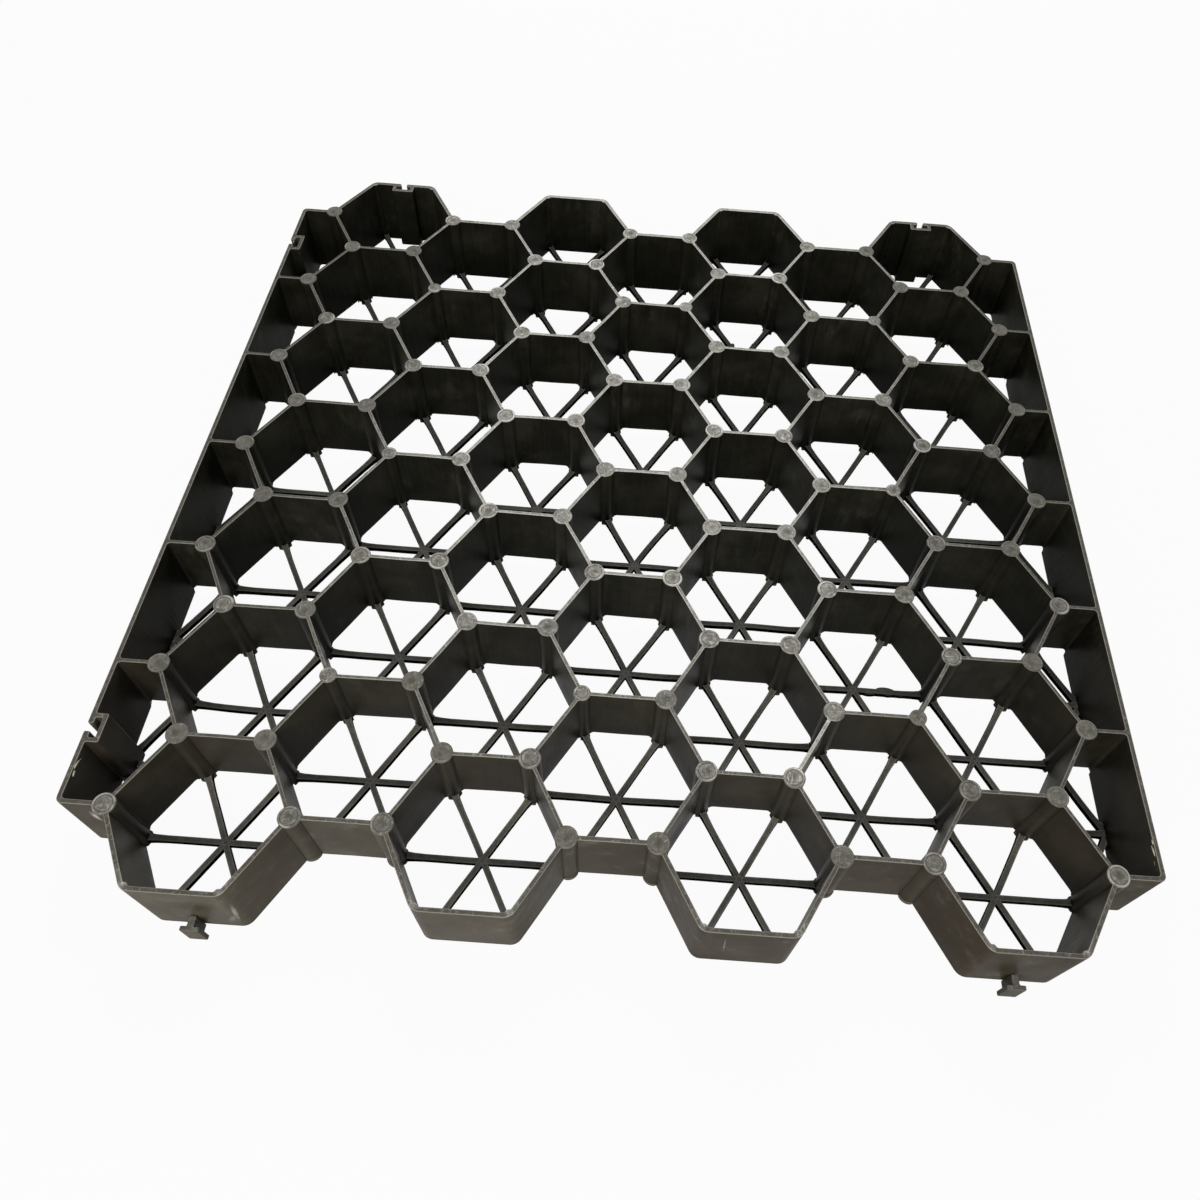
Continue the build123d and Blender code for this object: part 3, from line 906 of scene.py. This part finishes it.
class Graph:
    """Adds shader nodes to one tree. A value is a number, a colour or another node's output."""

    def __init__(self, tree, vector=None):
        self.nodes, self.links, self.vector = tree.nodes, tree.links, vector

    def feed(self, socket, value):
        if isinstance(value, bpy.types.NodeSocket):
            self.links.new(value, socket)
        else:
            socket.default_value = value if isinstance(value, (int, float)) else tuple(value)

    def math(self, operation, first, second, clamp=False):
        node = self.nodes.new("ShaderNodeMath")
        node.operation, node.use_clamp = operation, clamp
        self.feed(node.inputs[0], first)
        self.feed(node.inputs[1], second)
        return node.outputs[0]

    def times(self, first, *others, clamp=False):
        for other in others:
            first = self.math("MULTIPLY", first, other, clamp)
        return first

    def add(self, first, second, clamp=False):
        return self.math("ADD", first, second, clamp)

    def most(self, first, second):
        return self.math("MAXIMUM", first, second)

    def fade(self, value, low, high, start=0.0, end=1.0):
        """Goes smoothly from start, where the value is low, to end, where it is high."""
        node = self.nodes.new("ShaderNodeMapRange")
        node.interpolation_type = "SMOOTHSTEP"
        labels = ("Value", "From Min", "From Max", "To Min", "To Max")
        for label, number in zip(labels, (value, low, high, start, end)):
            self.feed(node.inputs[label], number)
        return node.outputs["Result"]

    def band(self, value, low, full, until, high, peak=1.0):
        """Rises from low to full, stays, and falls from until to high."""
        return self.times(self.fade(value, low, full), self.fade(value, until, high, peak, 0.0))

    def noise(self, scale, detail, roughness, stretch=(1, 1, 1)):
        mapping = self.nodes.new("ShaderNodeMapping")
        mapping.inputs["Scale"].default_value = stretch
        self.links.new(self.vector, mapping.inputs["Vector"])
        noise = self.nodes.new("ShaderNodeTexNoise")
        for label, number in zip(("Scale", "Detail", "Roughness"), (scale, detail, roughness)):
            noise.inputs[label].default_value = number
        self.links.new(mapping.outputs[0], noise.inputs["Vector"])
        return noise.outputs["Fac"]

    def cloud(self, scale, detail, roughness, low, high, start=0.0, end=1.0, stretch=(1, 1, 1)):
        """Noise that is faded from start to end between low and high."""
        return self.fade(self.noise(scale, detail, roughness, stretch), low, high, start, end)

    def mix(self, share, first, second, kind="RGBA"):
        node = self.nodes.new("ShaderNodeMix")
        node.data_type = kind
        sockets, output = ((0, 6, 7), 2) if kind == "RGBA" else ((0, 2, 3), 0)
        for index, value in zip(sockets, (share, first, second)):
            self.feed(node.inputs[index], value)
        return node.outputs[output]

    def group(self, tree, **values):
        node = self.nodes.new("ShaderNodeGroup")
        node.node_tree = tree
        self.links.new(self.vector, node.inputs["Vector"])
        for label, value in values.items():
            self.feed(node.inputs[label.replace("_", " ")], value)
        return node.outputs

    def split(self):
        node = self.nodes.new("ShaderNodeSeparateXYZ")
        self.links.new(self.vector, node.inputs[0])
        return node.outputs

    def attribute(self, name):
        node = self.nodes.new("ShaderNodeAttribute")
        node.attribute_name = name
        return node.outputs["Fac"]

    def shade(self, base, roughness, height, distance, gloss=0.02):
        """Feeds the material's own shader, whose constants stay on its sockets."""
        shader = self.nodes["Principled BSDF"].inputs
        shader["Specular IOR Level"].default_value = gloss
        bump = self.nodes.new("ShaderNodeBump")
        bump.inputs["Strength"].default_value = 0.5
        bump.inputs["Distance"].default_value = distance
        self.links.new(height, bump.inputs["Height"])
        self.links.new(bump.outputs["Normal"], shader["Normal"])
        self.links.new(base, shader["Base Color"])
        self.links.new(roughness, shader["Roughness"])

    def show(self, share, first, second, output):
        """Mixes two shaders by a share and feeds them to the tree's output."""
        mixer = self.nodes.new("ShaderNodeMixShader")
        for socket, source in zip(mixer.inputs, (share, first.outputs[0], second.outputs[0])):
            self.links.new(source, socket)
        self.links.new(mixer.outputs[0], self.nodes[output].inputs["Surface"])


def new_material(name):
    material = bpy.data.materials.new(name)
    material.use_nodes = True
    return material, Graph(material.node_tree)


def moulded_material(name):
    """A material on Object coordinates, its graph, and the panel's colours."""
    material, graph = new_material(name)
    graph.vector = graph.nodes.new("ShaderNodeTexCoord").outputs["Object"]
    return material, graph, bpy.context.scene.panel_finish


def new_group(name, **inputs):
    """A group with a Vector and the named inputs, numbers or colours, that puts out three values."""
    tree = bpy.data.node_groups.new(name, "ShaderNodeTree")
    tree.interface.new_socket(name="Vector", in_out="INPUT", socket_type="NodeSocketVector")
    for label, value in inputs.items():
        kind = "NodeSocketFloat" if isinstance(value, float) else "NodeSocketColor"
        socket = tree.interface.new_socket(name=label.replace("_", " "), in_out="INPUT", socket_type=kind)
        socket.default_value = value
    for label, kind in (("Color", "Color"), ("Roughness", "Float"), ("Height", "Float")):
        tree.interface.new_socket(name=label, in_out="OUTPUT", socket_type="NodeSocket" + kind)
    enter = tree.nodes.new("NodeGroupInput").outputs
    return tree, Graph(tree, enter["Vector"]), enter, tree.nodes.new("NodeGroupOutput").inputs


def moulded_group():
    """Moulded plastic with bloom: smoky patches, upright draw lines, smears that are partly scuffing and
    partly painted reflection, and a fine grain.
    """
    if "Moulded Plastic" in bpy.data.node_groups:
        return bpy.data.node_groups["Moulded Plastic"]
    tree, graph, enter, leave = new_group(
        "Moulded Plastic", Plastic=(0.02, 0.02, 0.02, 1), Bloom=(0.05, 0.05, 0.04, 1),
        Smear=(0.1, 0.09, 0.07, 1), Bloom_Share=0.5, Smear_Share=0.5)
    patch = graph.cloud(34, 4, 0.6, 0.38, 0.72)
    draw = graph.cloud(560, 2, 0.5, 0.35, 0.75, stretch=(1, 1, 0.03))
    grain = graph.noise(2600, 2, 0.6)
    share = graph.add(graph.times(patch, 0.8), graph.times(draw, 0.2))
    share = graph.times(share, enter["Bloom Share"], clamp=True)
    clouded = graph.mix(share, enter["Plastic"], enter["Bloom"])
    # A cloud of smears: partly scuffing, partly painted reflection
    smear_cloud = graph.times(graph.cloud(26, 3, 0.6, 0.5, 0.7),
                          graph.cloud(150, 4, 0.6, 0.42, 0.7, stretch=(1, 1, 0.4)))
    smear_and_sheen = graph.times(smear_cloud, enter["Smear Share"], clamp=True)
    graph.feed(leave["Color"], graph.mix(smear_and_sheen, clouded, enter["Smear"]))
    rough = graph.add(graph.times(patch, 0.12), graph.times(grain, 0.08))
    graph.feed(leave["Roughness"], graph.add(rough, 0.34))
    graph.feed(leave["Height"], graph.add(graph.times(grain, 0.35), graph.times(draw, 0.65)))
    return tree


def rubbed_group():
    """Rubbed plastic: cloudy worn grey with dark pits, light spots, and scratches in two directions."""
    if "Rubbed Plastic" in bpy.data.node_groups:
        return bpy.data.node_groups["Rubbed Plastic"]
    tree, graph, enter, leave = new_group(
        "Rubbed Plastic", Plastic=(0.02, 0.02, 0.02, 1), Worn=(0.15, 0.15, 0.13, 1),
        Scuff=(0.4, 0.4, 0.38, 1), Scuff_Share=0.5)
    mottle = graph.times(graph.cloud(250, 2, 0.5, 0.32, 0.68, 0.7, 1.0),
                         graph.cloud(820, 3, 0.6, 0.34, 0.58, 0.72, 1.0))
    fine = graph.noise(2300, 3, 0.6)
    scratch = graph.most(graph.cloud(1500, 2, 0.5, 0.6, 0.74, stretch=(0.16, 1, 1)),
                         graph.cloud(1300, 2, 0.5, 0.6, 0.74, stretch=(1, 0.16, 1)))
    base = graph.mix(mottle, enter["Plastic"], enter["Worn"])
    light = graph.most(scratch, graph.cloud(430, 4, 0.65, 0.54, 0.7))
    share = graph.times(light, enter["Scuff Share"], clamp=True)
    graph.feed(leave["Color"], graph.mix(share, base, enter["Scuff"]))
    graph.feed(leave["Roughness"], graph.add(graph.times(fine, 0.3), 0.3))
    height = graph.add(graph.times(mottle, 0.5), graph.times(fine, 0.6))
    graph.feed(leave["Height"], graph.math("SUBTRACT", height, graph.times(scratch, 0.4)))
    return tree


def marked(graph, places):
    """The strongest of several marks, each an ellipsoid that fades from its middle to its rim."""
    broken = graph.cloud(330, 4, 0.65, 0.36, 0.6, 0.4, 1.0)
    strongest = 0.0
    for x, y, z, *half_sizes, turn, strength in places:
        mapping = graph.nodes.new("ShaderNodeMapping")
        mapping.vector_type = "TEXTURE"
        mapping.inputs["Location"].default_value = (x * MM, y * MM, z * MM)
        mapping.inputs["Rotation"].default_value = (0, math.radians(turn), 0)
        mapping.inputs["Scale"].default_value = [half * MM for half in half_sizes]
        graph.links.new(graph.vector, mapping.inputs["Vector"])
        distance = graph.nodes.new("ShaderNodeVectorMath")
        distance.operation = "LENGTH"
        graph.links.new(mapping.outputs[0], distance.inputs[0])
        strongest = graph.most(strongest, graph.fade(distance.outputs["Value"], 0.2, 1.0, strength, 0.0))
    return graph.times(strongest, broken)


def face_colours(graph, finish, plain, outside, on_post):
    """Upright faces: brown staining and dust outside and in the front cells, where they also paint light
    and shade, then marks, smudges and creases.

    A painted highlight runs over each post's lip, and the creases beside the posts get painted shade.
    """
    x, y, up = graph.split()
    # Painted light and shade: across the front the film thins from left to right, as if lit from the left;
    # further back it is even
    thin = graph.times(graph.fade(x, -0.07, 0.05, 1.0, 0.16), graph.fade(x, 0.10, 0.16, 1.0, 1.9))
    thin = graph.most(thin, graph.fade(y, -0.19, -0.08, 0.0, 0.8))
    # Painted shade: the film thins on the faces set back from the front and near the ground
    inset = graph.fade(y, -0.25, -0.22, 1.0, 0.78)
    foot = graph.fade(up, 0.4 * MM, 2.6 * MM, 0.55, 1.0)
    dust_and_painted_light = graph.times(graph.cloud(30, 5, 0.65, 0.32, 0.68, 0.66, 1.05), thin, inset, foot, outside)
    # Painted light with dust: the faces of the front cells are lighter and browner, as if lit from the front
    front_dust_and_light = graph.times(graph.fade(y, -0.23, -0.06, 0.28, 0.0), graph.cloud(40, 4, 0.6, 0.35, 0.65, 0.6, 1.2))
    # Brown staining, heavier to the right outside where it paints shade, and in the front cells
    stain_and_shade = graph.most(graph.times(graph.fade(x, -0.07, 0.05, 0.2, 0.75), outside), graph.times(front_dust_and_light, 1.5))
    sides = graph.mix(stain_and_shade, plain, finish.stain_and_shade)
    sides = graph.mix(graph.most(dust_and_painted_light, front_dust_and_light), sides, finish.dust)
    for places, shown in ((DARK_MARKS, finish.bloom), (PALE_MARKS, finish.scuff_and_highlight)):
        sides = graph.mix(graph.times(marked(graph, places), outside), sides, shown)
    smudge = graph.times(graph.cloud(60, 5, 0.65, 0.54, 0.78, 0.0, 0.22), outside)
    sides = graph.mix(smudge, sides, finish.spoke)
    # Painted highlight along the top of each post's lip
    low = bpy.context.scene.panel_sizes.lip_height
    lip_highlight = graph.band(up, low - 0.1 * MM, low, low + LIP_SLOPE, low + 0.5 * MM)
    sides = graph.mix(graph.times(lip_highlight, on_post, 0.7), sides, finish.worn_and_sheen)
    # Painted shade in the creases beside the posts, in the clean plastic colour
    crease_shade = graph.times(graph.math("SUBTRACT", 1.0, on_post), on_post)
    return graph.mix(graph.times(crease_shade, 3.2, clamp=True), sides, finish.plastic)


def top_colours(graph, finish, coin, wear_and_highlight, on_wall, edge, flat):
    """The Rubbed Plastic group for the tops, and their colour: light greys that paint the sheen of the upward
    faces, with abrasion, a painted highlight ring and a dark dish on each post.

    Wall tops are duller than post tops where they aren't abraded, and have a painted highlight along
    each edge.
    """
    up, tone = graph.split()["Z"], graph.attribute("tone")
    # Base colours of the tops: painted sheen of the upward faces, with abrasion
    least = graph.mix(on_wall, finish.worn_and_sheen, finish.dull_top_sheen)
    uneven = graph.times(graph.cloud(46, 3, 0.6, 0.35, 0.65, 0.8, 1.3), wear_and_highlight, clamp=True)
    scuffed = graph.times(wear_and_highlight, graph.fade(on_wall, 0.0, 1.0, 1.35, 0.75))
    top_finish_and_sheen = graph.group(rubbed_group(), Plastic=finish.bloom, Scuff=finish.scuff_and_highlight,
                             Worn=graph.mix(uneven, least, finish.bright),
                             Scuff_Share=graph.add(scuffed, 0.16, clamp=True))
    # Painted highlights: arcs of a light ring round each post's top, and a line along each wall top's edge
    highlight_arcs = graph.times(graph.cloud(120, 2, 0.5, 0.45, 0.62), graph.fade(tone, 0.1, 0.9, 0.35, 1.0))
    ring = graph.times(graph.band(coin, 0.79, 0.87, 1.0, 1.12), highlight_arcs)
    groove = graph.times(graph.band(coin, 0.68, 0.77, 0.8, 0.85), graph.fade(tone, 0.2, 0.7, 0.1, 0.6))
    hollow = graph.times(graph.cloud(210, 2, 0.5, 0.4, 0.6, 0.1, 0.5), graph.fade(coin, 0.15, 0.66, 1.0, 0.0))
    edge_highlight = graph.times(graph.fade(edge, flat - 0.4 * MM, flat - 0.15 * MM),
                        graph.fade(up, flat - 0.1 * MM, flat, 0.8, 0.0), on_wall)
    rim = graph.mix(graph.times(wear_and_highlight, 1.5, clamp=True), finish.spoke, finish.scuff_and_highlight)
    tops = graph.mix(graph.most(groove, hollow), top_finish_and_sheen["Color"], finish.bloom)
    return top_finish_and_sheen, graph.mix(graph.most(ring, edge_highlight), tops, rim)


def panel_plastic():
    """Walls and posts: dark moulded faces, dusty outside faces with painted light and shade, abraded tops
    in painted sheen, and mottled post coins.
    """
    material, graph, finish = moulded_material("panel_plastic_walls")
    coin, outside, wear_and_highlight, on_post = (graph.attribute(n) for n in ("coin", "outside", "rubbed_and_highlit", "post"))
    moulded = graph.group(moulded_group(), Plastic=finish.plastic, Bloom=finish.bloom, Smear=finish.smear_and_sheen,
                          Bloom_Share=0.75, Smear_Share=0.36)
    flat = HEIGHT - bpy.context.scene.panel_sizes.coin
    edge = graph.add(graph.split()["Z"], graph.times(graph.noise(90, 3, 0.6), 0.2 * MM))
    on_wall = graph.fade(coin, 1.0, 1.3)
    sides = face_colours(graph, finish, moulded["Color"], outside, on_post)
    top_finish_and_sheen, tops = top_colours(graph, finish, coin, wear_and_highlight, on_wall, edge, flat)
    on_coin = graph.fade(on_wall, 0.0, 1.0, 1.0, 0.0)
    # The upward top faces take the top colours: painted sheen with abrasion
    top = graph.most(graph.fade(edge, flat - 0.4 * MM, flat - 0.1 * MM), on_coin)
    rough, height = (graph.mix(top, moulded[n], top_finish_and_sheen[n], "FLOAT") for n in ("Roughness", "Height"))
    graph.shade(graph.mix(top, sides, tops), rough, height, 0.12 * MM)
    return material


def spoke_plastic():
    """Spokes: dark sides, a lighter top in painted sheen with abrasion, and a painted highlight line along
    each top edge.
    """
    material, graph, finish = moulded_material("panel_plastic_spokes")
    lit = graph.attribute("lit")
    moulded = graph.group(moulded_group(), Plastic=finish.plastic, Bloom=finish.bloom, Smear=finish.smear_and_sheen,
                          Bloom_Share=0.4, Smear_Share=0.1)
    top_finish_and_sheen = graph.group(rubbed_group(), Plastic=finish.smear_and_sheen, Worn=finish.spoke, Scuff=finish.worn_and_sheen,
                             Scuff_Share=0.2)
    # Painted light from the lit layer: the top in painted sheen, its edges in a painted highlight line
    line = graph.mix(graph.fade(lit, 0.6, 1.0, 0.0, 0.6), top_finish_and_sheen["Color"], finish.bright)
    base = graph.mix(graph.fade(lit, 0.1, 0.45), moulded["Color"], line)
    graph.shade(base, moulded["Roughness"], moulded["Height"], 0.1 * MM, gloss=0.0)
    return material


def tab_plastic():
    """Tabs: dusty moulded plastic, with the upper edges lighter in painted highlight and abrasion."""
    material, graph, finish = moulded_material("panel_plastic_tabs")
    moulded = graph.group(moulded_group(), Plastic=finish.bloom, Bloom=finish.dust, Smear=finish.dust,
                          Bloom_Share=1.2, Smear_Share=0.8)
    top_finish_and_sheen = graph.group(rubbed_group(), Plastic=finish.bloom, Worn=finish.worn_and_sheen, Scuff=finish.scuff_and_highlight,
                             Scuff_Share=0.25)
    # Painted highlight with abrasion on the upper edges
    top = graph.fade(graph.split()["Z"], TAB_HEIGHT - 0.8 * MM, TAB_HEIGHT)
    base = graph.mix(top, moulded["Color"], top_finish_and_sheen["Color"])
    graph.shade(base, moulded["Roughness"], top_finish_and_sheen["Height"], 0.08 * MM)
    return material


def burr_plastic():
    """Burrs: plastic whitened by bending, darker in its hollows."""
    material, graph, finish = moulded_material("panel_plastic_burrs")
    flake = graph.group(rubbed_group(), Plastic=finish.worn_and_sheen, Worn=finish.burr, Scuff=finish.burr,
                        Scuff_Share=0.8)
    graph.shade(flake["Color"], flake["Roughness"], flake["Height"], 0.2 * MM)
    return material


# Studio

CAMERA_PLACE = Vector((0.00417, -0.36599, HEIGHT + 0.43567))
CAMERA_AIM = Vector((0.00683, -0.05989, HEIGHT))
CAMERA_ROLL = 4.588
LENS_SHIFT = (-0.0395, -0.0361)
KEY_PLACE, KEY_SIZE, KEY_COLOUR = Vector((0.02, 1.15, 1.10)), 0.8, (1.0, 1.0, 0.97)
FRONT_PLACE, FRONT_SIZE, FRONT_COLOUR = Vector((-0.16, -1.00, 0.58)), 0.6, (1.0, 0.95, 0.89)
FLOOR_REACH = 6.0


def look_at(thing, place, aim, roll=0.0):
    turn = (aim - place).to_track_quat("-Z", "Y").to_matrix()
    spin = Matrix.Rotation(math.radians(roll), 3, turn @ Vector((0, 0, 1)))
    thing.matrix_world = Matrix.Translation(place) @ (spin @ turn).to_4x4()


def linked(name, data):
    made = bpy.data.objects.new(name, data)
    bpy.context.scene.collection.objects.link(made)
    return made


def seen_rays(graph):
    """1 for the rays that show the background: from the camera, off gloss or through glass."""
    path = graph.nodes.new("ShaderNodeLightPath").outputs
    return graph.most(path["Is Camera Ray"], graph.most(path["Is Glossy Ray"], path["Is Transmission Ray"]))


class PANEL_OT_studio(bpy.types.Operator):
    """Build the pale floor, the soft lamps and the camera"""

    bl_idname = "ground_panel.studio"
    bl_label = "Studio"

    def execute(self, context):
        scene, settings = context.scene, context.scene.panel_studio
        scene.view_settings.view_transform = "Standard"
        self.floor(settings)
        self.sky(scene, settings)
        self.lamp("key_light", KEY_PLACE, KEY_SIZE, settings.key_power, KEY_COLOUR)
        self.lamp("front_light", FRONT_PLACE, FRONT_SIZE, settings.fill_power, FRONT_COLOUR)
        data = bpy.data.cameras.new("camera")
        data.lens, data.sensor_width = settings.lens, 36.0
        data.shift_x, data.shift_y = LENS_SHIFT
        data.clip_start, data.clip_end = 0.01, 50.0
        scene.camera = linked("camera", data)
        look_at(scene.camera, CAMERA_PLACE, CAMERA_AIM, CAMERA_ROLL)
        return {"FINISHED"}

    def lamp(self, name, place, size, power, shine):
        data = bpy.data.lights.new(name, "AREA")
        data.shape, data.size, data.energy, data.color = "DISK", size, power, shine
        look_at(linked(name, data), place, Vector((0, 0, 0)))

    def floor(self, settings):
        mesh = bpy.data.meshes.new("floor")
        r = FLOOR_REACH
        mesh.from_pydata([(-r, -r, 0), (r, -r, 0), (r, r, 0), (-r, r, 0)], [], [(0, 1, 2, 3)])
        made = linked("floor", mesh)
        material, graph = new_material("pale_floor")
        shader = graph.nodes["Principled BSDF"]
        shader.inputs["Base Color"].default_value = settings.floor
        shader.inputs["Roughness"].default_value = 0.9
        shader.inputs["Specular IOR Level"].default_value = 0.0
        white = graph.nodes.new("ShaderNodeEmission")
        share = graph.times(seen_rays(graph), settings.floor_glow)
        graph.show(share, shader, white, "Material Output")
        mesh.materials.append(material)

    def sky(self, scene, settings):
        scene.world = bpy.data.worlds.new("sky")
        scene.world.use_nodes = True
        graph = Graph(scene.world.node_tree)
        even, white = graph.nodes["Background"], graph.nodes.new("ShaderNodeBackground")
        even.inputs["Color"].default_value = white.inputs["Color"].default_value = (1, 1, 1, 1)
        even.inputs["Strength"].default_value = settings.sky
        graph.show(seen_rays(graph), even, white, "World Output")


class PANEL_PT_sidebar(bpy.types.Panel):
    """Lists the sizes, the finish and the buttons"""

    bl_idname = "PANEL_PT_ground_panel"
    bl_label = "Ground Panel"
    bl_space_type = "VIEW_3D"
    bl_region_type = "UI"
    bl_category = "Ground Panel"

    def draw(self, context):
        for group in SETTINGS:
            settings, box = getattr(context.scene, group), self.layout.box()
            for name in values_of(settings):
                box.prop(settings, name)
        for operator in OPERATORS:
            self.layout.operator(operator.bl_idname)


OPERATORS = (PANEL_OT_walls, PANEL_OT_spokes, PANEL_OT_tabs, PANEL_OT_burrs, PANEL_OT_studio)
SETTINGS = {"panel_sizes": PanelSizes, "panel_finish": PanelFinish, "panel_sampling": PanelSampling,
            "panel_studio": StudioSettings}


def register():
    for cls in (*SETTINGS.values(), *OPERATORS, PANEL_PT_sidebar):
        bpy.utils.register_class(cls)
    for name, cls in SETTINGS.items():
        setattr(bpy.types.Scene, name, PointerProperty(type=cls))


def unregister():
    for name in SETTINGS:
        delattr(bpy.types.Scene, name)
    for cls in (PANEL_PT_sidebar, *reversed(OPERATORS), *SETTINGS.values()):
        bpy.utils.unregister_class(cls)


def main():
    register()
    bpy.ops.ground_panel.walls()
    bpy.ops.ground_panel.spokes()
    bpy.ops.ground_panel.tabs()
    bpy.ops.ground_panel.burrs()
    bpy.ops.ground_panel.studio()


if __name__ == "__main__":
    main()
